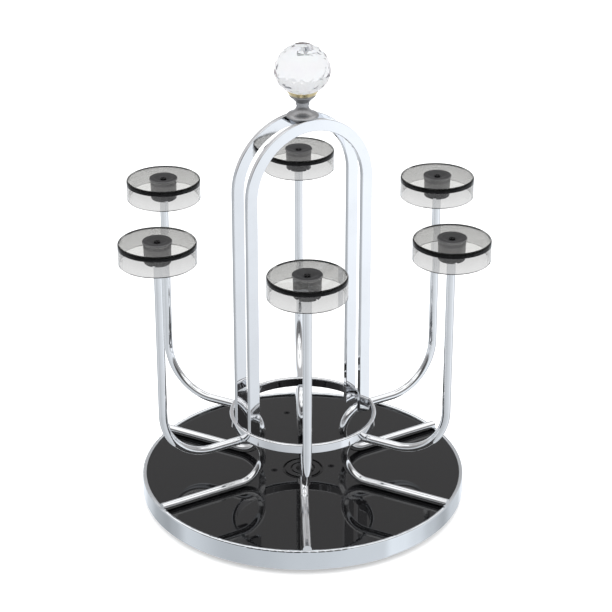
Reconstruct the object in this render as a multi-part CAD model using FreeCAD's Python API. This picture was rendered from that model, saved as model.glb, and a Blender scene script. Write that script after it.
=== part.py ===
"""Rotating glass and cup tree: a black tray in a chrome hoop on a turntable, six bent-wire arms
that each carry a clear cap to stand a glass over, and a double arch handle with a crystal knob.

Units are millimetres. +Z is up, the origin is on the table under the middle of the tray, and the
arch handle stands in the XZ plane. Arm 1 points along +X and the arms follow every 60 degrees.
"""
import FreeCAD
import Part
import math
import os

# ---- driving dimensions --------------------------------------------------------------------------
BAR_T = 3.0               # thickness of the hoop, the ring and the bridge plate
BAR_EDGE_R = 0.45         # rounding along the edges of the arches
HOOP_EDGE_R = 1.2         # rounding along the edges of the hoop and the ring
WIRE_R = 3.25             # radius of the round arm wire

HOOP_R = 125.0            # outside radius of the tray hoop
HOOP_BOTTOM = 4.5
HOOP_TOP = 20.5

PLATE_TOP = 18.5          # the gloss sheet sits 2 mm below the hoop's edge
PLATE_T = 2.0
BOARD_T = 7.0

ARM_COUNT = 6
POST_R = 121.0            # distance of each post from the middle axis
LEG_Z = 21.8              # centre height of an arm's lower leg
UPPER_Z = 59.8            # centre height of its upper leg
HAIRPIN_INNER_R = 37.0    # where the hairpin comes closest to the middle axis
POST_BEND_R = 40.0        # bend from the upper leg into the post
LEG_END_R = 124.4
POST_TOP = 234.0

RING_R = 56.5             # outside radius of the welded middle ring
RING_BOTTOM = 62.5
RING_TOP = 70.5

ARCH_W = 8.8              # width of the arch bar in its own plane
ARCH_T = 3.8              # and its thickness across that plane
ARCH_HALF_SPAN = 49.3     # middle axis to the centre of a leg
ARCH_OFFSET = 9.8         # middle plane to the centre of each arch
ARCH_BOTTOM = 60.5
ARCH_TOP = 311.0

BRIDGE_HALF_LENGTH = 8.5
BRIDGE_TOP = 308.5

CAP_BOTTOM = 223.5
CAP_TOP = 239.5
CAP_R = 28.3
CAP_WALL = 1.4
CAP_PLATE_T = 3.6
CAP_EDGE_R = 1.5
CAP_COVE_R = 0.3          # where the plate meets the inside of the wall
CAP_RIM = 0.5             # chamfer round the cap's mouth

HUB_R = 10.0
HUB_BOTTOM = 223.8
HUB_TAPER = 0.25          # the hub is this much slimmer at its foot
HUB_CHAMFER = 0.5
HUB_FLANGE_R = 10.75
HUB_FLANGE_T = 0.9
HUB_FLANGE_LIP = 0.35
HUB_NOTCHES = 4           # notches in the foot of the hub
HUB_NOTCH_W = 2.4
HUB_NOTCH_H = 1.8
HUB_NOTCH_DEPTH = 2.5
DIMPLE_R = 7.5            # dish in the top of the hub
DIMPLE_FLOOR_R = 2.6
DIMPLE_DEPTH = 1.4

CAP_SCREW_HEAD_R = 2.2
CAP_SCREW_HEAD_T = 0.9
CAP_SCREW_SHANK_R = 1.25
CAP_SCREW_BOTTOM = 228.0
CAP_SCREW_SLOT_W = 0.6
CAP_SCREW_SLOT_DEPTH = 0.5

BALL_R = 20.9             # radius of the sphere that most of the crystal's corners lie on
BALL_Z = 344.5
BALL_SIDES = 14           # corners in each row of facets
BALL_ROUND_ROWS = 5       # rows that lie on the sphere
BALL_TABLE_ANGLE = 17.0   # polar angle of the flat at the top, in degrees
BALL_LAST_ANGLE = 93.0    # and of the last row on the sphere
BALL_FOOT_ROWS = [(18.1, 7.8), (14.9, 11.2), (11.4, 13.6)]     # radius and depth below the middle

STEM_SPIGOT_R = 7.5       # passes between the two arches
STEM_FOOT_R = 11.9
STEM_FOOT_GAP = 0.2       # the bell-shaped foot floats this far above the arches
STEM_FOOT_T = 0.6
STEM_BELL = (11.1, 312.6)     # radius and height of a point on the round shoulder of the foot
STEM_SHOULDER = (9.3, 313.5)
STEM_FLARE = (6.0, 315.6)     # and of a point on the hollow curve above it
STEM_NECK_R = 4.4
STEM_NECK_BOTTOM = 319.2
STEM_NECK_TOP = 321.2
STEM_CUP_HOLLOW = (6.5, 323.6)
STEM_CUP_R = 9.6
STEM_CUP_LIP = 0.5
STEM_CUP_TOP = 327.0
STEM_PAD_R = 5.0          # flat pad that carries the crystal
SEAT_BOTTOM_R = 9.4
SEAT_TOP_R = 11.8
KNOB_SCREW_R = 2.5
KNOB_SCREW_HEAD_R = 4.5
KNOB_SCREW_HEAD_T = 2.5
KNOB_SCREW_TOP = 320.0

# ---- turntable under the tray --------------------------------------------------------------------
FOOT_T = 1.5
FOOT_R = 6.0
FOOT_COUNT = 4
FOOT_CIRCLE_R = 88.0
DISC_R = 100.0
DISC_T = 2.0
RACE_R = 50.0
RACE_T = 1.5
RACE_GAP = 3.0            # between the two races
BALL_CIRCLE_R = 35.0
BEARING_BALL_R = 2.0
BEARING_BALLS = 16
GROOVE_CLEARANCE = 0.05
CAGE_HALF_WIDTH = 4.0
CAGE_T = 1.0
CAGE_CLEARANCE = 0.15
PIVOT_R = 5.0
PIVOT_CLEARANCE = 0.05
NUT_R = 8.0
NUT_T = 3.0
NUT_GAP = 0.2             # running gap between the upper race and the nut
NUT_POCKET_CLEARANCE = 2.0
RIVET_R = 2.0
RIVET_COUNT = 4
RIVET_CIRCLE_R = 44.0
RIVET_SUNK = 0.5          # how far the rivets stop above the underside of the disc

# ---- fixings that show on the tray ---------------------------------------------------------------
FIXING_AZIMUTH = -23.3    # line through the two turntable screws, in degrees
FIXING_R = 22.5
EDGE_SCREW_R = 92.0
SCREW_HEAD_R = 2.6
SCREW_HEAD_T = 1.0
SCREW_SHANK_R = 1.5
SCREW_SLOT_LENGTH = 2.8
SCREW_SLOT_W = 0.7
SCREW_SLOT_DEPTH = 0.6
EDGE_SCREW_GRIP = 5.0     # how deep the edge screw goes into the board
PIVOT_COVER_R = 16.0
PIVOT_COVER_RISE = 0.3    # its top stands this far above the gloss sheet
PIVOT_GROOVES = [(15.4, 1.7), (9.6, 1.2)]     # outside radius and width of the two pressed rings
PIVOT_GROOVE_DEPTH = 1.2
PLUG_R = 5.5
PLUG_FLOOR_T = 0.5        # what is left of the cover under the plug
PLUG_RISE = 0.9
PLUG_DOME = 0.6
PLUG_SOCKET_R = 2.6
PLUG_SOCKET_SIDES = 6
PLUG_SOCKET_DEPTH = 1.4

# ---- sizes worked out from the above -------------------------------------------------------------
DISC_BOTTOM = FOOT_T
DISC_TOP = DISC_BOTTOM + DISC_T
RACE_TOP = DISC_TOP + RACE_T
BEARING_Z = RACE_TOP + RACE_GAP / 2
UPPER_RACE_BOTTOM = RACE_TOP + RACE_GAP
UPPER_RACE_TOP = UPPER_RACE_BOTTOM + RACE_T
BOARD_TOP = PLATE_TOP - PLATE_T
BOARD_BOTTOM = BOARD_TOP - BOARD_T
HOOP_INNER_R = HOOP_R - BAR_T
HAIRPIN_R = (UPPER_Z - LEG_Z) / 2
HAIRPIN_CENTRE_R = HAIRPIN_INNER_R + HAIRPIN_R
ARCH_OUTER_R = ARCH_HALF_SPAN + ARCH_W / 2
ARCH_INNER_R = ARCH_HALF_SPAN - ARCH_W / 2
ARCH_CENTRE_Z = ARCH_TOP - ARCH_OUTER_R
HUB_TOP = CAP_TOP + HUB_FLANGE_T
DIMPLE_FLOOR = HUB_TOP - DIMPLE_DEPTH
PIVOT_COVER_TOP = PLATE_TOP + PIVOT_COVER_RISE
PLUG_BOTTOM = BOARD_TOP + PLUG_FLOOR_T
PLUG_TOP = PLATE_TOP + PLUG_RISE
STEM_FOOT_Z = ARCH_TOP + STEM_FOOT_GAP

ORIGIN = FreeCAD.Vector(0, 0, 0)
UP = FreeCAD.Vector(0, 0, 1)
THROUGH = 1.0             # how far a cutting shape runs past what it cuts
ARM_AZIMUTHS = [360.0 / ARM_COUNT * index for index in range(ARM_COUNT)]


# ---- helpers -------------------------------------------------------------------------------------
def save(name, shape):
    """Write one sub-part to its own STEP file."""
    shape.exportStep(os.path.join("parts", name + ".step"))


def disc(radius, bottom, top, x=0.0, y=0.0):
    """A solid upright cylinder between two heights."""
    return Part.makeCylinder(radius, top - bottom, FreeCAD.Vector(x, y, bottom))


def drill(radius, bottom, top, x=0.0, y=0.0):
    """A cutting cylinder that runs past both heights."""
    return disc(radius, bottom - THROUGH, top + THROUGH, x, y)


def ring(outer, inner, bottom, top):
    """A flat-sided ring about the middle axis."""
    return disc(outer, bottom, top).cut(drill(inner, bottom, top))


def cross_slot(length, width, bottom, top, x=0.0, y=0.0):
    """The cutting shape of a cross recess."""
    slot = Part.makeBox(length, width, top - bottom)
    slot.translate(FreeCAD.Vector(x - length / 2, y - width / 2, bottom))
    other = slot.copy()
    other.rotate(FreeCAD.Vector(x, y, 0), UP, 90)
    return slot.fuse(other)


def polar(radius, azimuth):
    """Plan position of a point at a radius and an azimuth in degrees."""
    angle = math.radians(azimuth)
    return radius * math.cos(angle), radius * math.sin(angle)


def turned(shape, azimuth):
    """The shape turned about the middle axis."""
    copy = shape.copy()
    copy.rotate(ORIGIN, UP, azimuth)
    return copy


def section_point(radius, height):
    """A point of a section drawn in the XZ plane."""
    return FreeCAD.Vector(radius, 0, height)


def line(start, end):
    """A straight edge of a section, from (radius, height) pairs."""
    return Part.LineSegment(section_point(*start), section_point(*end)).toShape()


def arc(start, middle, end):
    """A round edge of a section through three (radius, height) pairs."""
    return Part.Arc(section_point(*start), section_point(*middle), section_point(*end)).toShape()


def outline(points):
    """Straight edges through (radius, height) pairs, left open at the end."""
    return [line(start, end) for start, end in zip(points, points[1:])]


def turned_solid(edges):
    """Spin a closed section in the XZ plane about the middle axis."""
    face = Part.Face(Part.Wire(edges))
    return face.revolve(ORIGIN, UP, 360)


def corner_middle(centre, radius, degrees):
    """The middle point of a rounded corner."""
    angle = math.radians(degrees)
    return centre[0] + radius * math.cos(angle), centre[1] + radius * math.sin(angle)


def bar_ring(outer, bottom, top):
    """A hoop of flat bar about the middle axis, its four edges rounded."""
    inner = outer - BAR_T
    low = bottom + HOOP_EDGE_R
    high = top - HOOP_EDGE_R
    near = inner + HOOP_EDGE_R
    far = outer - HOOP_EDGE_R
    edges = [
        line((near, bottom), (far, bottom)),
        arc((far, bottom), corner_middle((far, low), HOOP_EDGE_R, -45), (outer, low)),
        line((outer, low), (outer, high)),
        arc((outer, high), corner_middle((far, high), HOOP_EDGE_R, 45), (far, top)),
        line((far, top), (near, top)),
        arc((near, top), corner_middle((near, high), HOOP_EDGE_R, 135), (inner, high)),
        line((inner, high), (inner, low)),
        arc((inner, low), corner_middle((near, low), HOOP_EDGE_R, 225), (near, bottom)),
    ]
    return turned_solid(edges)


# ---- bent wire -----------------------------------------------------------------------------------
def wire_face(position, direction):
    """The round end face of a wire."""
    circle = Part.Circle(position, direction, WIRE_R)
    return Part.Face(Part.Wire(circle.toShape()))


def straight_run(start, direction, length):
    """A straight stretch of wire in the XZ plane and where it ends."""
    solid = wire_face(start, direction).extrude(direction * length)
    return solid, start + direction * length


def bend(start, direction, centre, degrees):
    """A bend about an axis along Y; a positive angle turns +Z towards +X."""
    axis = FreeCAD.Vector(0, 1, 0)
    solid = wire_face(start, direction).revolve(centre, axis, degrees)
    turn = FreeCAD.Rotation(axis, degrees)
    return solid, centre + turn.multVec(start - centre), turn.multVec(direction)


def make_arm_wire():
    """One arm at azimuth 0: lower leg inwards, hairpin, upper leg outwards, bend, post."""
    runs = []
    start = section_point(LEG_END_R, LEG_Z)
    direction = FreeCAD.Vector(-1, 0, 0)
    solid, start = straight_run(start, direction, LEG_END_R - HAIRPIN_CENTRE_R)
    runs.append(solid)
    centre = section_point(HAIRPIN_CENTRE_R, LEG_Z + HAIRPIN_R)
    solid, start, direction = bend(start, direction, centre, 180)
    runs.append(solid)
    solid, start = straight_run(start, direction, POST_R - POST_BEND_R - HAIRPIN_CENTRE_R)
    runs.append(solid)
    centre = section_point(POST_R - POST_BEND_R, UPPER_Z + POST_BEND_R)
    solid, start, direction = bend(start, direction, centre, -90)
    runs.append(solid)
    solid, start = straight_run(start, direction, POST_TOP - UPPER_Z - POST_BEND_R)
    runs.append(solid)
    return runs[0].multiFuse(runs[1:]).removeSplitter()


# ---- cap, hub and their screw, drawn about the middle axis and then moved to a post --------------
def make_cap():
    """A shallow clear cup, mouth down, with a thick flat top and a hole for the hub."""
    edge = (CAP_R - CAP_EDGE_R, CAP_TOP - CAP_EDGE_R)
    inner_r = CAP_R - CAP_WALL
    under = CAP_TOP - CAP_PLATE_T
    cove = (inner_r - CAP_COVE_R, under - CAP_COVE_R)
    edges = [
        line((CAP_R, CAP_BOTTOM + CAP_RIM), (CAP_R, edge[1])),
        arc((CAP_R, edge[1]), corner_middle(edge, CAP_EDGE_R, 45), (edge[0], CAP_TOP)),
        line((edge[0], CAP_TOP), (HUB_R, CAP_TOP)),
        line((HUB_R, CAP_TOP), (HUB_R, under)),
        line((HUB_R, under), (cove[0], under)),
        arc((cove[0], under), corner_middle(cove, CAP_COVE_R, 45), (inner_r, cove[1])),
        line((inner_r, cove[1]), (inner_r, CAP_BOTTOM + CAP_RIM)),
        line((inner_r, CAP_BOTTOM + CAP_RIM), (inner_r + CAP_RIM, CAP_BOTTOM)),
        line((inner_r + CAP_RIM, CAP_BOTTOM), (CAP_R - CAP_RIM, CAP_BOTTOM)),
        line((CAP_R - CAP_RIM, CAP_BOTTOM), (CAP_R, CAP_BOTTOM + CAP_RIM)),
    ]
    return turned_solid(edges)


def make_hub():
    """The black boss that holds the cap on the post: flange, dished top, notched foot."""
    foot_r = HUB_R - HUB_TAPER
    points = [
        (0, HUB_BOTTOM),
        (foot_r - HUB_CHAMFER, HUB_BOTTOM),
        (foot_r, HUB_BOTTOM + HUB_CHAMFER),
        (HUB_R, CAP_TOP - CAP_PLATE_T),
        (HUB_R, CAP_TOP),
        (HUB_FLANGE_R, CAP_TOP),
        (HUB_FLANGE_R, HUB_TOP - HUB_FLANGE_LIP),
        (HUB_FLANGE_R - HUB_FLANGE_LIP, HUB_TOP),
        (DIMPLE_R, HUB_TOP),
        (DIMPLE_FLOOR_R, DIMPLE_FLOOR),
        (0, DIMPLE_FLOOR),
        (0, HUB_BOTTOM),
    ]
    hub = turned_solid(outline(points))
    hub = hub.cut(disc(WIRE_R, HUB_BOTTOM - THROUGH, POST_TOP))
    hub = hub.cut(drill(CAP_SCREW_SHANK_R, POST_TOP, HUB_TOP))
    notch = Part.makeBox(2 * HUB_R, HUB_NOTCH_W, HUB_NOTCH_H)
    notch.translate(FreeCAD.Vector(-HUB_R, -HUB_NOTCH_W / 2, HUB_BOTTOM))
    core = disc(HUB_R - HUB_NOTCH_DEPTH, HUB_BOTTOM, HUB_BOTTOM + HUB_NOTCH_H)
    for index in range(HUB_NOTCHES // 2):
        across = turned(notch, 180.0 / HUB_NOTCHES * (2 * index + 1))
        hub = hub.cut(across.cut(core))
    return hub


def make_cap_screw():
    """Pan-head screw from the dimple into the end of the post."""
    head_top = DIMPLE_FLOOR + CAP_SCREW_HEAD_T
    head = disc(CAP_SCREW_HEAD_R, DIMPLE_FLOOR, head_top)
    cross = cross_slot(2 * CAP_SCREW_HEAD_R, CAP_SCREW_SLOT_W, head_top - CAP_SCREW_SLOT_DEPTH, head_top)
    shank = disc(CAP_SCREW_SHANK_R, CAP_SCREW_BOTTOM, DIMPLE_FLOOR)
    return head.cut(cross).fuse(shank).removeSplitter()


def on_post(shape, azimuth):
    """Move a piece drawn about the middle axis onto the post at an azimuth."""
    copy = shape.copy()
    copy.translate(FreeCAD.Vector(POST_R, 0, 0))
    return turned(copy, azimuth)


def save_arms(arm_wire):
    """Six arms, each with its hub and cap, and the six cap screws as one group."""
    drilled = arm_wire.cut(disc(CAP_SCREW_SHANK_R, CAP_SCREW_BOTTOM, POST_TOP + THROUGH, x=POST_R))
    cap = make_cap()
    hub = make_hub()
    screw = make_cap_screw()
    for number, azimuth in enumerate(ARM_AZIMUTHS, start=1):
        save("arm_%d" % number, turned(drilled, azimuth))
        save("hub_%d" % number, on_post(hub, azimuth))
        save("cap_%d" % number, on_post(cap, azimuth))
    save("cap_screws", Part.makeCompound([on_post(screw, azimuth) for azimuth in ARM_AZIMUTHS]))


# ---- tray ----------------------------------------------------------------------------------------
def make_hoop(arm_wire):
    """Flat-bar hoop with a saddle in its top edge under each lower leg."""
    hoop = bar_ring(HOOP_R, HOOP_BOTTOM, HOOP_TOP)
    for azimuth in ARM_AZIMUTHS:
        hoop = hoop.cut(turned(arm_wire, azimuth))
    return hoop


def screw_points():
    """Plan positions of the two turntable screws."""
    return [polar(FIXING_R, FIXING_AZIMUTH), polar(FIXING_R, FIXING_AZIMUTH + 180)]


def screw_space(x, y, bottom):
    """The space that a countersunk tray screw fills, its head flush with the gloss sheet."""
    seat = PLATE_TOP - SCREW_HEAD_T
    head = Part.makeCone(SCREW_SHANK_R, SCREW_HEAD_R, SCREW_HEAD_T, FreeCAD.Vector(x, y, seat))
    return head.fuse(disc(SCREW_SHANK_R, bottom, seat, x, y)).removeSplitter()


def make_tray_screw(x, y, bottom):
    """Countersunk screw with a cross recess."""
    cross = cross_slot(SCREW_SLOT_LENGTH, SCREW_SLOT_W, PLATE_TOP - SCREW_SLOT_DEPTH, PLATE_TOP, x, y)
    return screw_space(x, y, bottom).cut(cross)


def save_tray(arm_wire):
    """Hoop, gloss sheet, board and the fixings that show in the middle of the sheet."""
    save("base_hoop", make_hoop(arm_wire))
    plate = disc(HOOP_INNER_R, BOARD_TOP, PLATE_TOP)
    plate = plate.cut(drill(PIVOT_COVER_R, BOARD_TOP, PLATE_TOP))
    board = disc(HOOP_INNER_R, BOARD_BOTTOM, BOARD_TOP)
    pocket_r = NUT_R + NUT_POCKET_CLEARANCE
    pocket_top = BOARD_BOTTOM + NUT_T + NUT_POCKET_CLEARANCE
    board = board.cut(disc(pocket_r, BOARD_BOTTOM - THROUGH, pocket_top))

    edge_x, edge_y = polar(EDGE_SCREW_R, FIXING_AZIMUTH + 90)
    edge_bottom = BOARD_TOP - EDGE_SCREW_GRIP
    spaces = [screw_space(x, y, UPPER_RACE_BOTTOM) for x, y in screw_points()]
    spaces.append(screw_space(edge_x, edge_y, edge_bottom))
    for space in spaces:
        plate = plate.cut(space)
        board = board.cut(space)
    save("black_plate", plate)
    save("tray_board", board)

    screws = [make_tray_screw(x, y, UPPER_RACE_BOTTOM) for x, y in screw_points()]
    save("turntable_screws", Part.makeCompound(screws))
    save("edge_screw", make_tray_screw(edge_x, edge_y, edge_bottom))
    save("pivot_cover", make_pivot_cover())
    save("pivot_plug", make_pivot_plug())


def make_pivot_cover():
    """Black disc in the middle of the gloss sheet, with two pressed rings."""
    cover = disc(PIVOT_COVER_R, BOARD_TOP, PIVOT_COVER_TOP)
    floor = PIVOT_COVER_TOP - PIVOT_GROOVE_DEPTH
    for outer, width in PIVOT_GROOVES:
        cover = cover.cut(ring(outer, outer - width, floor, PIVOT_COVER_TOP + THROUGH))
    return cover.cut(disc(PLUG_R, PLUG_BOTTOM, PIVOT_COVER_TOP + THROUGH))


def make_pivot_plug():
    """Domed plug with a hexagonal socket that closes the pivot."""
    shoulder = PLUG_TOP - PLUG_DOME
    dome_r = (PLUG_R ** 2 + PLUG_DOME ** 2) / (2 * PLUG_DOME)
    middle_r = PLUG_R / 2
    middle_z = PLUG_TOP - dome_r + math.sqrt(dome_r ** 2 - middle_r ** 2)
    edges = [
        line((0, PLUG_BOTTOM), (PLUG_R, PLUG_BOTTOM)),
        line((PLUG_R, PLUG_BOTTOM), (PLUG_R, shoulder)),
        arc((PLUG_R, shoulder), (middle_r, middle_z), (0, PLUG_TOP)),
        line((0, PLUG_TOP), (0, PLUG_BOTTOM)),
    ]
    plug = turned_solid(edges)
    floor = PLUG_TOP - PLUG_SOCKET_DEPTH
    corners = []
    for index in range(PLUG_SOCKET_SIDES + 1):
        x, y = polar(PLUG_SOCKET_R, 360.0 / PLUG_SOCKET_SIDES * index)
        corners.append(FreeCAD.Vector(x, y, floor))
    socket = Part.Face(Part.makePolygon(corners)).extrude(UP * (PLUG_SOCKET_DEPTH + THROUGH))
    return plug.cut(socket)


# ---- turntable -----------------------------------------------------------------------------------
def make_group(radius, bottom, top, points):
    """Equal upright cylinders at the given plan positions."""
    return [disc(radius, bottom, top, x, y) for x, y in points]


def around(count, radius, first=0.0):
    """Plan positions spread evenly round the middle axis."""
    return [polar(radius, first + 360.0 / count * index) for index in range(count)]


def save_turntable():
    """Rubber feet, fixed disc, two grooved races, balls in a cage, and the pivot with its nut."""
    feet = make_group(FOOT_R, 0, FOOT_T, around(FOOT_COUNT, FOOT_CIRCLE_R, first=45))
    save("rubber_feet", Part.makeCompound(feet))
    rivet_points = around(RIVET_COUNT, RIVET_CIRCLE_R)
    rivets = make_group(RIVET_R, DISC_BOTTOM + RIVET_SUNK, RACE_TOP, rivet_points)
    save("race_rivets", Part.makeCompound(rivets))

    ball_points = around(BEARING_BALLS, BALL_CIRCLE_R)
    groove_middle = FreeCAD.Vector(0, 0, BEARING_Z)
    groove = Part.makeTorus(BALL_CIRCLE_R, BEARING_BALL_R + GROOVE_CLEARANCE, groove_middle)
    foot_disc = ring(DISC_R, PIVOT_R, DISC_BOTTOM, DISC_TOP)
    lower_race = ring(RACE_R, PIVOT_R, DISC_TOP, RACE_TOP).cut(groove)
    for rivet in rivets:
        foot_disc = foot_disc.cut(rivet)
        lower_race = lower_race.cut(rivet)
    save("foot_disc", foot_disc)
    save("lower_race", lower_race)

    upper_race = ring(RACE_R, PIVOT_R + PIVOT_CLEARANCE, UPPER_RACE_BOTTOM, UPPER_RACE_TOP).cut(groove)
    for x, y in screw_points():
        upper_race = upper_race.cut(drill(SCREW_SHANK_R, UPPER_RACE_BOTTOM, UPPER_RACE_TOP, x, y))
    save("upper_race", upper_race)

    balls = [Part.makeSphere(BEARING_BALL_R, FreeCAD.Vector(x, y, BEARING_Z)) for x, y in ball_points]
    save("bearing_balls", Part.makeCompound(balls))
    cage_bottom = BEARING_Z - CAGE_T / 2
    cage_top = BEARING_Z + CAGE_T / 2
    cage = ring(BALL_CIRCLE_R + CAGE_HALF_WIDTH, BALL_CIRCLE_R - CAGE_HALF_WIDTH, cage_bottom, cage_top)
    for x, y in ball_points:
        cage = cage.cut(drill(BEARING_BALL_R + CAGE_CLEARANCE, cage_bottom, cage_top, x, y))
    save("ball_cage", cage)

    nut_bottom = UPPER_RACE_TOP + NUT_GAP
    nut_top = nut_bottom + NUT_T
    save("pivot_pin", disc(PIVOT_R, DISC_BOTTOM, nut_top))
    save("pivot_nut", ring(NUT_R, PIVOT_R, nut_bottom, nut_top))


# ---- middle ring, arches and knob ----------------------------------------------------------------
def make_middle_ring(arm_wire):
    """Flat-bar ring that sits in shallow saddles on the six upper legs."""
    middle = bar_ring(RING_R, RING_BOTTOM, RING_TOP)
    for azimuth in ARM_AZIMUTHS:
        middle = middle.cut(turned(arm_wire, azimuth))
    return middle


def runs_along(edge):
    """True for an edge that follows the arch, false for the short ones across its thickness or its feet."""
    size = edge.BoundBox
    return size.YLength < ARCH_T / 2 and size.ZLength > ARCH_W


def make_arch(side, middle_ring):
    """Round-topped flat-bar arch; side is -1 or 1, and its feet are fitted inside the middle ring."""
    outer = ARCH_OUTER_R
    inner = ARCH_INNER_R
    edges = [
        line((-outer, ARCH_BOTTOM), (-outer, ARCH_CENTRE_Z)),
        arc((-outer, ARCH_CENTRE_Z), (0, ARCH_TOP), (outer, ARCH_CENTRE_Z)),
        line((outer, ARCH_CENTRE_Z), (outer, ARCH_BOTTOM)),
        line((outer, ARCH_BOTTOM), (inner, ARCH_BOTTOM)),
        line((inner, ARCH_BOTTOM), (inner, ARCH_CENTRE_Z)),
        arc((inner, ARCH_CENTRE_Z), (0, ARCH_TOP - ARCH_W), (-inner, ARCH_CENTRE_Z)),
        line((-inner, ARCH_CENTRE_Z), (-inner, ARCH_BOTTOM)),
        line((-inner, ARCH_BOTTOM), (-outer, ARCH_BOTTOM)),
    ]
    face = Part.Face(Part.Wire(edges))
    bar = face.extrude(FreeCAD.Vector(0, ARCH_T, 0))
    bar.translate(FreeCAD.Vector(0, side * ARCH_OFFSET - ARCH_T / 2, 0))
    bar = bar.makeFillet(BAR_EDGE_R, [edge for edge in bar.Edges if runs_along(edge)])
    return bar.cut(middle_ring)


def make_bridge_plate():
    """Small plate welded between the two arches, drilled for the knob's screw."""
    width = 2 * ARCH_OFFSET - ARCH_T
    plate = Part.makeBox(2 * BRIDGE_HALF_LENGTH, width, BAR_T)
    plate.translate(FreeCAD.Vector(-BRIDGE_HALF_LENGTH, -width / 2, BRIDGE_TOP - BAR_T))
    return plate.cut(drill(KNOB_SCREW_R, BRIDGE_TOP - BAR_T, BRIDGE_TOP))


def ball_base_z():
    """Height of the flat on the underside of the crystal."""
    return BALL_Z - BALL_FOOT_ROWS[-1][1]


def make_stem():
    """Turned metal stem: spigot, bell-shaped foot, neck and a flared top with a pad for the crystal."""
    foot_edge = STEM_FOOT_Z + STEM_FOOT_T
    cup_edge = STEM_CUP_TOP - STEM_CUP_LIP
    edges = outline([
        (0, BRIDGE_TOP),
        (STEM_SPIGOT_R, BRIDGE_TOP),
        (STEM_SPIGOT_R, STEM_FOOT_Z),
        (STEM_FOOT_R, STEM_FOOT_Z),
        (STEM_FOOT_R, foot_edge),
    ])
    edges.append(arc((STEM_FOOT_R, foot_edge), STEM_BELL, STEM_SHOULDER))
    edges.append(arc(STEM_SHOULDER, STEM_FLARE, (STEM_NECK_R, STEM_NECK_BOTTOM)))
    edges.append(line((STEM_NECK_R, STEM_NECK_BOTTOM), (STEM_NECK_R, STEM_NECK_TOP)))
    edges.append(arc((STEM_NECK_R, STEM_NECK_TOP), STEM_CUP_HOLLOW, (STEM_CUP_R, cup_edge)))
    edges += outline([
        (STEM_CUP_R, cup_edge),
        (STEM_CUP_R, STEM_CUP_TOP),
        (0, STEM_CUP_TOP),
        (0, BRIDGE_TOP),
    ])
    stem = turned_solid(edges)
    stem = stem.fuse(disc(STEM_PAD_R, KNOB_SCREW_TOP, ball_base_z())).removeSplitter()
    return stem.cut(disc(KNOB_SCREW_R, BRIDGE_TOP - THROUGH, KNOB_SCREW_TOP))


def make_seat():
    """Gilt collar that flares from the stem's top to the foot of the crystal."""
    height = ball_base_z() - STEM_CUP_TOP
    collar = Part.makeCone(SEAT_BOTTOM_R, SEAT_TOP_R, height, FreeCAD.Vector(0, 0, STEM_CUP_TOP))
    return collar.cut(drill(STEM_PAD_R, STEM_CUP_TOP, ball_base_z()))


def crystal_levels():
    """Radius and height of each row of corners, from the top flat to the foot."""
    step = (BALL_LAST_ANGLE - BALL_TABLE_ANGLE) / (BALL_ROUND_ROWS - 1)
    angles = [math.radians(BALL_TABLE_ANGLE + step * index) for index in range(BALL_ROUND_ROWS)]
    levels = [(BALL_R * math.sin(angle), BALL_Z + BALL_R * math.cos(angle)) for angle in angles]
    return levels + [(radius, BALL_Z - depth) for radius, depth in BALL_FOOT_ROWS]


def crystal_row(index, radius, height):
    """Corners of one row of facets; every other row is turned by half a step."""
    step = 360.0 / BALL_SIDES
    shift = step / 2 * (index % 2)
    return [FreeCAD.Vector(*polar(radius, step * corner + shift), height) for corner in range(BALL_SIDES)]


def flat_facet(corners):
    """One flat face through the given corners."""
    return Part.Face(Part.makePolygon(corners + corners[:1]))


def make_crystal():
    """Ball cut with triangular facets, with a flat at the top and a foot cut in to a flat below."""
    rows = [crystal_row(index, radius, height) for index, (radius, height) in enumerate(crystal_levels())]
    facets = [flat_facet(rows[0]), flat_facet(rows[-1])]
    for index in range(len(rows) - 1):
        upper = rows[index]
        lower = rows[index + 1]
        lead = index % 2
        for corner in range(BALL_SIDES):
            after = (corner + 1) % BALL_SIDES
            facets.append(flat_facet([upper[corner], upper[after], lower[(corner + lead) % BALL_SIDES]]))
            facets.append(flat_facet([lower[corner], lower[after], upper[(corner + 1 - lead) % BALL_SIDES]]))
    return Part.Solid(Part.makeShell(facets))


def make_knob_screw():
    """Screw from under the bridge plate up into the stem."""
    under = BRIDGE_TOP - BAR_T
    head = disc(KNOB_SCREW_HEAD_R, under - KNOB_SCREW_HEAD_T, under)
    return head.fuse(disc(KNOB_SCREW_R, under, KNOB_SCREW_TOP)).removeSplitter()


def save_handle(arm_wire):
    """Middle ring, two arches, bridge plate and the crystal knob on its stem."""
    middle = make_middle_ring(arm_wire)
    save("middle_ring", middle)
    save("arch_front", make_arch(-1, middle))
    save("arch_rear", make_arch(1, middle))
    save("bridge_plate", make_bridge_plate())
    save("knob_stem", make_stem())
    save("knob_seat", make_seat())
    save("crystal_ball", make_crystal())
    save("knob_screw", make_knob_screw())


def main():
    os.makedirs("parts", exist_ok=True)
    arm_wire = make_arm_wire()
    save_turntable()
    save_tray(arm_wire)
    save_arms(arm_wire)
    save_handle(arm_wire)


main()
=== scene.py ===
import math

import bpy
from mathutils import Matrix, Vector

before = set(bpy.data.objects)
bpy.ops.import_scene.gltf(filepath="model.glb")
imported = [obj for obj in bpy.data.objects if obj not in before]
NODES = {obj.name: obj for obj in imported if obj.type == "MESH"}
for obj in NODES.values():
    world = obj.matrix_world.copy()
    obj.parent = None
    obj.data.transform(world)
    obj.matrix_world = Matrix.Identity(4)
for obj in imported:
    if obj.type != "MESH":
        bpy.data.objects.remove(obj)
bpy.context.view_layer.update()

ARMS = range(1, 7)

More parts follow.
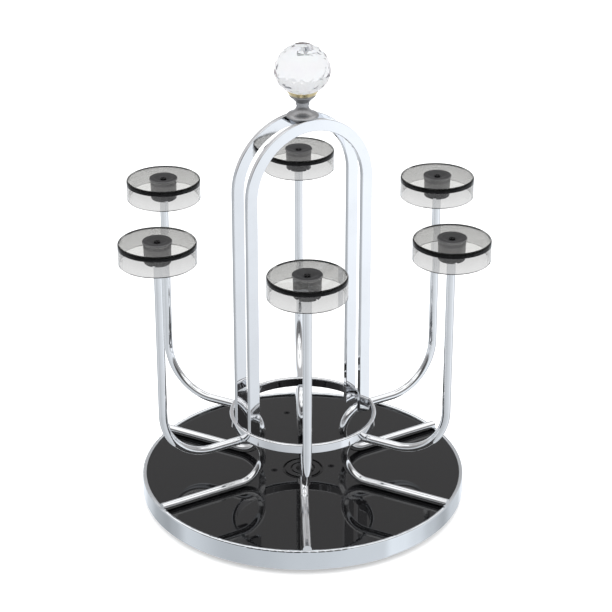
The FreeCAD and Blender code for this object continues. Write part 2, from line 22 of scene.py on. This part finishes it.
# ---- camera --------------------------------------------------------------------------------
CAMERA_AT = (-0.7119, -1.1618, 0.8035)
CAMERA_TARGET = (0.0021, -0.0013, 0.1591)
CAMERA_LENS = 117.53          # mm on a 36 mm sensor
VIEW_AZIMUTH = math.radians(31.6)     # the way the camera looks, from +Y towards +X


def add_camera():
    """The camera at the photograph's viewing angle."""
    data = bpy.data.cameras.new("camera")
    data.lens = CAMERA_LENS
    data.sensor_width = 36.0
    data.clip_start = 0.05
    data.clip_end = 100.0
    camera = bpy.data.objects.new("camera", data)
    bpy.context.scene.collection.objects.link(camera)
    camera.location = CAMERA_AT
    look = Vector(CAMERA_TARGET) - Vector(CAMERA_AT)
    camera.rotation_mode = "QUATERNION"
    camera.rotation_quaternion = look.to_track_quat("-Z", "Y")
    bpy.context.scene.camera = camera


# ---- node helpers --------------------------------------------------------------------------
class Tree:
    """A small helper round a node tree."""

    def __init__(self, owner):
        owner.use_nodes = True
        self.tree = owner.node_tree
        self.tree.nodes.clear()

    def add(self, kind, **settings):
        """A new node; settings name its properties, or its inputs with underscores for spaces."""
        node = self.tree.nodes.new(kind)
        for key, value in settings.items():
            if hasattr(node, key):
                setattr(node, key, value)
            else:
                self.feed(node.inputs[key.replace("_", " ")], value)
        return node

    def feed(self, socket, value):
        """Set a socket, or link it where the value is another node's output."""
        if isinstance(value, bpy.types.NodeSocket):
            self.tree.links.new(value, socket)
        else:
            socket.default_value = value

    def math(self, operation, first, second=0.0, clamp=False):
        node = self.tree.nodes.new("ShaderNodeMath")
        node.operation = operation
        node.use_clamp = clamp
        self.feed(node.inputs[0], first)
        self.feed(node.inputs[1], second)
        return node.outputs[0]

    def band(self, value, low, high, from_low=0.0, from_high=1.0):
        """value spread from one range to another, with soft ends."""
        node = self.tree.nodes.new("ShaderNodeMapRange")
        node.interpolation_type = "SMOOTHSTEP"
        self.feed(node.inputs["Value"], value)
        node.inputs["From Min"].default_value = from_low
        node.inputs["From Max"].default_value = from_high
        self.feed(node.inputs["To Min"], low)
        self.feed(node.inputs["To Max"], high)
        return node.outputs["Result"]

    def blend(self, factor, first, second, mode="MIX"):
        node = self.tree.nodes.new("ShaderNodeMix")
        node.data_type = "RGBA"
        node.blend_type = mode
        self.feed(node.inputs["Factor"], factor)
        self.feed(node.inputs[6], first)
        self.feed(node.inputs[7], second)
        return node.outputs[2]

    def grey(self, value):
        """The same value in all three channels."""
        node = self.add("ShaderNodeCombineColor")
        for channel in range(3):
            self.feed(node.inputs[channel], value)
        return node.outputs[0]

    def noise(self, scale, detail=3.0, roughness=0.55, stretch=(1, 1, 1)):
        """Noise over the object's own coordinates, in metres."""
        where = self.add("ShaderNodeTexCoord").outputs["Object"]
        mapping = self.add("ShaderNodeMapping", Vector=where, Scale=stretch)
        node = self.add("ShaderNodeTexNoise", Vector=mapping.outputs[0], Scale=scale, Detail=detail,
                        Roughness=roughness)
        return node.outputs["Fac"]

    def bump(self, height, distance, strength=1.0):
        node = self.add("ShaderNodeBump", Height=height, Distance=distance, Strength=strength)
        return node.outputs["Normal"]


def colour(r, g, b):
    return (r, g, b, 1.0)


def new_material(name):
    material = bpy.data.materials.new(name)
    tree = Tree(material)
    shader = tree.add("ShaderNodeBsdfPrincipled")
    output = tree.add("ShaderNodeOutputMaterial", Surface=shader.outputs[0])
    return material, tree, shader, output


# ---- materials -----------------------------------------------------------------------------
SHEET_IOR = 1.5
CAP_IOR = 1.49
CRYSTAL_IOR = 1.42
CRYSTAL_FILM = 420.0          # thickness of the iridescent film, in nanometres
CRYSTAL_FILM_IOR = 1.30
CAP_PLATE = (0.770, 0.775)    # share of a cap's height where its wall meets its plate
CAP_EDGE = (0.960, 0.985)     # share of its radius where the plate's dark edge begins
SMOKE_DENSITY = 55.0          # per metre
MIRROR_WAVE = 0.00003         # depth of the slow waves in sheet and plastic, in metres
TURNING_DEPTH = 0.00003       # and of the turning marks on metal


def chrome(name, bright, smudge_scale=38.0, roughness=(0.02, 0.06), ripple=0.000012):
    """Mirror-bright plating with faint smudges and the slight waviness of plated bar."""
    material, tree, shader, _ = new_material(name)
    smudge = tree.noise(smudge_scale, detail=4.0)
    worn = tree.band(smudge, 0.0, 1.0, 0.35, 0.75)
    dull = tuple(0.965 * c for c in bright)
    tree.feed(shader.inputs["Base Color"], tree.blend(worn, colour(*bright), colour(*dull)))
    shader.inputs["Metallic"].default_value = 1.0
    tree.feed(shader.inputs["Roughness"], tree.band(worn, *roughness))
    wave = tree.noise(90.0, detail=2.0)
    tree.feed(shader.inputs["Normal"], tree.bump(wave, ripple))
    return material


def gloss_black():
    """Back-painted gloss sheet: near-black under a clear mirror-smooth face, with dust and smears."""
    material, tree, shader, _ = new_material("gloss_black_sheet")
    cloud = tree.noise(14.0, detail=5.0)
    tree.feed(shader.inputs["Base Color"],
              tree.blend(cloud, colour(0.0030, 0.0030, 0.0034), colour(0.0050, 0.0050, 0.0056)))
    dust = tree.band(tree.noise(900.0, detail=2.0), 0.0, 1.0, 0.66, 0.74)
    smear = tree.band(tree.noise(26.0, detail=5.0, stretch=(1, 2.5, 1)), 0.012, 0.05, 0.45, 0.7)
    tree.feed(shader.inputs["Roughness"], tree.math("ADD", smear, tree.math("MULTIPLY", dust, 0.12)))
    shader.inputs["IOR"].default_value = SHEET_IOR
    wave = tree.noise(30.0, detail=1.0)
    tree.feed(shader.inputs["Normal"], tree.bump(wave, MIRROR_WAVE))
    return material


def moulded(name, base, lighter, roughness=(0.35, 0.5), grain=1400.0, depth=0.00006, specular=0.5):
    """Moulded or painted part: fine grain, slight mottling and uneven gloss."""
    material, tree, shader, _ = new_material(name)
    mottle = tree.noise(70.0, detail=4.0)
    tree.feed(shader.inputs["Base Color"], tree.blend(mottle, colour(*base), colour(*lighter)))
    tree.feed(shader.inputs["Roughness"], tree.band(tree.noise(120.0), *roughness, 0.3, 0.7))
    shader.inputs["Specular IOR Level"].default_value = specular
    tree.feed(shader.inputs["Normal"], tree.bump(tree.noise(grain, detail=2.0), depth))
    return material


def hub_plastic():
    """Dark moulded boss, satin all over: the lighter grey walls are a painted sheen and the near-black
    upward face is painted shade.
    """
    material, tree, shader, _ = new_material("hub_black")
    facing = tree.add("ShaderNodeNewGeometry").outputs["Normal"]
    upward = tree.add("ShaderNodeSeparateXYZ", Vector=facing).outputs[2]
    # painted shade: faces that point up get the near-black colour
    painted_shade_top = tree.band(upward, 0.0, 1.0, 0.6, 0.9)
    mottle = tree.noise(90.0, detail=4.0)
    # painted sheen: the walls get a lighter grey than the upward face
    painted_sheen_sides = tree.blend(mottle, colour(0.115, 0.115, 0.118), colour(0.140, 0.140, 0.144))
    tree.feed(shader.inputs["Base Color"], tree.blend(painted_shade_top, painted_sheen_sides, colour(0.005, 0.005, 0.006)))
    tree.feed(shader.inputs["Roughness"], tree.band(tree.noise(120.0), 0.38, 0.5, 0.3, 0.7))
    tree.feed(shader.inputs["Normal"], tree.bump(tree.noise(1400.0, detail=2.0), 0.00005))
    return material


def board():
    """Black-sealed board: faint fibres under the sealer."""
    material, tree, shader, _ = new_material("sealed_board")
    fibre = tree.noise(260.0, detail=5.0, stretch=(1, 6, 1))
    tree.feed(shader.inputs["Base Color"],
              tree.blend(fibre, colour(0.018, 0.016, 0.015), colour(0.045, 0.040, 0.036)))
    tree.feed(shader.inputs["Roughness"], tree.band(fibre, 0.55, 0.8))
    tree.feed(shader.inputs["Normal"], tree.bump(fibre, 0.0002))
    return material


def brushed(name, base, roughness=(0.2, 0.34), stretch=(1, 1, 26), depth=TURNING_DEPTH):
    """Satin metal with fine turning marks round the axis."""
    material, tree, shader, _ = new_material(name)
    marks = tree.noise(140.0, detail=4.0, stretch=stretch)
    tree.feed(shader.inputs["Base Color"],
              tree.blend(marks, colour(*base), colour(*(0.82 * c for c in base))))
    shader.inputs["Metallic"].default_value = 1.0
    tree.feed(shader.inputs["Roughness"], tree.band(marks, *roughness))
    tree.feed(shader.inputs["Normal"], tree.bump(marks, depth))
    return material


def gilt_on_silver():
    """Turned collar, silver at its foot and gilt towards its rim, with fine turning marks."""
    material, tree, shader, _ = new_material("gilt_collar")
    place = tree.add("ShaderNodeTexCoord").outputs["Generated"]
    height = tree.add("ShaderNodeSeparateXYZ", Vector=place).outputs[2]
    marks = tree.noise(140.0, detail=4.0, stretch=(1, 1, 26))
    silver = tree.blend(marks, colour(0.60, 0.59, 0.56), colour(0.48, 0.47, 0.45))
    gold = tree.blend(marks, colour(0.95, 0.80, 0.46), colour(0.87, 0.72, 0.40))
    tree.feed(shader.inputs["Base Color"], tree.blend(tree.band(height, 0.0, 1.0, 0.05, 0.55), silver, gold))
    shader.inputs["Metallic"].default_value = 1.0
    tree.feed(shader.inputs["Roughness"], tree.band(marks, 0.22, 0.32))
    tree.feed(shader.inputs["Normal"], tree.bump(marks, TURNING_DEPTH))
    return material


def smoked_clear():
    """Smoke-tinted clear plastic: a tint at each face, with a nearly black edge round the plate."""
    material, tree, shader, output = new_material("smoked_clear_plastic")
    place = tree.add("ShaderNodeTexCoord").outputs["Generated"]
    height = tree.add("ShaderNodeSeparateXYZ", Vector=place).outputs[2]
    spoke = tree.add("ShaderNodeVectorMath", operation="MULTIPLY_ADD")
    tree.feed(spoke.inputs[0], place)
    spoke.inputs[1].default_value = (2.0, 2.0, 0.0)
    spoke.inputs[2].default_value = (-1.0, -1.0, 0.0)
    reach = tree.add("ShaderNodeVectorMath", operation="LENGTH")
    tree.feed(reach.inputs[0], spoke.outputs[0])
    skirt = tree.blend(tree.band(height, 0.0, 1.0, 0.1, CAP_PLATE[0]), colour(0.66, 0.66, 0.66),
                       colour(0.58, 0.58, 0.58))
    plate = tree.band(height, 0.0, 1.0, *CAP_PLATE)
    edge = tree.math("MULTIPLY", plate, tree.band(reach.outputs["Value"], 0.0, 1.0, *CAP_EDGE))
    speck = tree.band(tree.noise(600.0, detail=3.0), 0.0, 1.0, 0.60, 0.72)
    tint = tree.blend(plate, skirt, colour(0.80, 0.80, 0.785))
    tint = tree.blend(edge, tint, colour(0.01, 0.01, 0.01))
    tint = tree.blend(tree.math("MULTIPLY", speck, 0.12), tint, colour(0.5, 0.5, 0.5))
    tree.feed(shader.inputs["Base Color"], tint)
    shader.inputs["Transmission Weight"].default_value = 1.0
    shader.inputs["IOR"].default_value = CAP_IOR
    shader.inputs["Specular Tint"].default_value = colour(0.35, 0.35, 0.35)
    scuff = tree.noise(55.0, detail=5.0)
    tree.feed(shader.inputs["Roughness"], tree.band(scuff, 0.0, 0.04, 0.5, 0.8))
    tree.feed(shader.inputs["Normal"], tree.bump(tree.noise(90.0, detail=1.0), MIRROR_WAVE))
    smoke = tree.add("ShaderNodeVolumeAbsorption", Color=colour(0.30, 0.30, 0.29), Density=SMOKE_DENSITY)
    tree.feed(output.inputs["Volume"], smoke.outputs[0])
    return material


def crystal():
    """Cut glass with a trace of iridescence and faint wear on the facets."""
    material, tree, shader, _ = new_material("cut_crystal")
    shader.inputs["Base Color"].default_value = colour(0.80, 0.805, 0.82)
    shader.inputs["Transmission Weight"].default_value = 0.88
    shader.inputs["IOR"].default_value = CRYSTAL_IOR
    scuff = tree.noise(120.0, detail=4.0)
    tree.feed(shader.inputs["Roughness"], tree.band(scuff, 0.0, 0.03, 0.55, 0.8))
    shader.inputs["Thin Film Thickness"].default_value = CRYSTAL_FILM
    shader.inputs["Thin Film IOR"].default_value = CRYSTAL_FILM_IOR
    return material


def dress(material, *nodes):
    """Give CAD nodes a material in place of the one they were packed with."""
    for name in nodes:
        slots = NODES[name].material_slots
        if not slots:
            NODES[name].data.materials.append(material)
        for entry in NODES[name].material_slots:
            entry.material = material


def finish_materials():
    arm_chrome = chrome("chrome_wire", (0.88, 0.89, 0.905))
    bar_chrome = chrome("chrome_bar", (0.875, 0.885, 0.905))
    hoop_chrome = chrome("chrome_hoop", (0.84, 0.87, 0.90), smudge_scale=24.0)
    dress(arm_chrome, *("arm_%d" % n for n in ARMS))
    dress(bar_chrome, "arch_front", "arch_rear", "bridge_plate", "middle_ring")
    dress(hoop_chrome, "base_hoop")
    dress(gloss_black(), "black_plate")
    dress(moulded("pivot_black", (0.003, 0.003, 0.0034), (0.006, 0.006, 0.0065), (0.06, 0.14), depth=0.00002,
                  specular=0.38), "pivot_cover")
    dress(moulded("plug_black", (0.002, 0.002, 0.0022), (0.004, 0.004, 0.0044), (0.10, 0.2), depth=0.00002,
                  specular=0.08), "pivot_plug")
    dress(board(), "tray_board")
    dress(smoked_clear(), *("cap_%d" % n for n in ARMS))
    dress(hub_plastic(), *("hub_%d" % n for n in ARMS))
    dress(moulded("dark_steel", (0.003, 0.003, 0.0035), (0.008, 0.008, 0.009), (0.15, 0.3), specular=0.08),
          "cap_screws", "turntable_screws", "edge_screw")
    dress(brushed("satin_stem", (0.46, 0.46, 0.47), (0.30, 0.40)), "knob_stem")
    dress(gilt_on_silver(), "knob_seat")
    dress(crystal(), "crystal_ball")
    dress(brushed("zinc_steel", (0.55, 0.55, 0.52), (0.28, 0.45), (3, 3, 1)),
          "foot_disc", "lower_race", "upper_race", "race_rivets", "bearing_balls", "pivot_pin",
          "pivot_nut", "knob_screw")
    dress(moulded("nylon_cage", (0.72, 0.71, 0.66), (0.80, 0.79, 0.75)), "ball_cage")
    dress(moulded("rubber_pad", (0.014, 0.014, 0.014), (0.026, 0.026, 0.026), (0.7, 0.9), 700.0, 0.0002),
          "rubber_feet")


# ---- studio --------------------------------------------------------------------------------
FLOOR_SIZE = 60.0
FLOOR_ALBEDO = 0.93
FLOOR_GLOW = 0.30


def add_floor():
    mesh = bpy.data.meshes.new("floor")
    half = FLOOR_SIZE / 2
    corners = [(-half, -half, 0), (half, -half, 0), (half, half, 0), (-half, half, 0)]
    mesh.from_pydata(corners, [], [(0, 1, 2, 3)])
    floor = bpy.data.objects.new("floor", mesh)
    bpy.context.scene.collection.objects.link(floor)
    material, tree, shader, _ = new_material("studio_floor")
    shader.inputs["Base Color"].default_value = colour(*(FLOOR_ALBEDO,) * 3)
    shader.inputs["Roughness"].default_value = 0.9
    shader.inputs["Specular IOR Level"].default_value = 0.0
    shader.inputs["Emission Color"].default_value = colour(1.0, 1.0, 1.0)
    shader.inputs["Emission Strength"].default_value = FLOOR_GLOW
    mesh.materials.append(material)
    floor.visible_glossy = False


# What the bright parts see, as (degrees right of the way the camera looks, brightness).
TABLE_SEEN = (
    (-180, 0.70), (-150, 0.62), (-126, 0.58), (-90, 0.76), (-76, 0.52), (-66, 0.44), (-52, 0.50),
    (-36, 0.74), (-20, 1.02), (20, 1.02), (32, 0.74), (45, 0.72), (59, 0.51), (75, 0.66), (90, 0.86),
    (104, 0.98), (113, 1.0), (121, 0.78), (145, 0.76), (180, 0.70),
)
ROOM_SEEN = (
    (-180, 0.05), (-110, 0.22), (-60, 0.62), (-25, 0.50), (0, 0.48), (25, 0.50), (60, 0.62), (110, 0.26),
    (180, 0.05),
)
TABLE_TINT = (0.915, 0.955, 1.0)
ROOM_TINT = (1.0, 0.99, 1.0)
TABLE_NEAR = 0.98             # the table fades towards its near edge
TABLE_FAR = 1.22
TABLE_FADE = (-0.54, -0.32)   # upward part of the direction over which it fades
HORIZON = (-0.05, 0.12)       # and over which the table gives way to the room
CEILING_FROM = (0.52, 0.70)   # and the room to the ceiling
CEILING = 1.15
FIELD_LIGHT = 1.45            # brightness of the white surround for everything but reflections
GLASS_LIGHT = 1.0             # and as seen by a ray that has been through glass or clear plastic


def panorama(tree, heading, stops, tint):
    """Brightness all round the horizon, from a list of stops."""
    node = tree.add("ShaderNodeValToRGB", Fac=heading)
    ramp = node.color_ramp
    ramp.interpolation = "EASE"
    for number, (degrees, level) in enumerate(stops):
        place = (degrees + 180) / 360
        stop = ramp.elements[number] if number < 2 else ramp.elements.new(place)
        stop.position = place
        stop.color = colour(*(level * part for part in tint))
    return node.outputs["Color"]


def add_world():
    """White all round; reflections see a pale table and a dimmer room under a bright ceiling."""
    world = bpy.data.worlds.new("studio")
    bpy.context.scene.world = world
    tree = Tree(world)
    direction = tree.add("ShaderNodeTexCoord").outputs["Generated"]
    turn = tree.add("ShaderNodeVectorRotate", Vector=direction, Axis=(0.0, 0.0, 1.0), Angle=VIEW_AZIMUTH)
    parts = tree.add("ShaderNodeSeparateXYZ", Vector=turn.outputs[0])
    side, ahead, up = parts.outputs[0], parts.outputs[1], parts.outputs[2]
    angle = tree.math("ARCTAN2", side, ahead)
    heading = tree.math("ADD", tree.math("DIVIDE", angle, 2 * math.pi), 0.5)

    table = panorama(tree, heading, TABLE_SEEN, TABLE_TINT)
    room = panorama(tree, heading, ROOM_SEEN, ROOM_TINT)
    distant = tree.band(up, TABLE_NEAR, TABLE_FAR, *TABLE_FADE)
    table = tree.blend(1.0, table, tree.grey(distant), mode="MULTIPLY")
    above = tree.band(up, 0.0, 1.0, *CEILING_FROM)
    room = tree.blend(above, room, colour(*(CEILING,) * 3))
    reflected = tree.blend(tree.band(up, 0.0, 1.0, *HORIZON), table, room)

    path = tree.add("ShaderNodeLightPath")
    light = tree.blend(path.outputs["Is Glossy Ray"], colour(*(FIELD_LIGHT,) * 3), reflected)
    through = tree.math("GREATER_THAN", path.outputs["Transmission Depth"], 0.5)
    light = tree.blend(through, light, colour(*(GLASS_LIGHT,) * 3))
    background = tree.add("ShaderNodeBackground", Color=light, Strength=1.0)
    tree.add("ShaderNodeOutputWorld", Surface=background.outputs[0])


def set_colours():
    settings = bpy.context.scene.view_settings
    settings.view_transform = "Standard"
    settings.look = "None"
    settings.exposure = 0.0


add_camera()
finish_materials()
add_floor()
add_world()
set_colours()
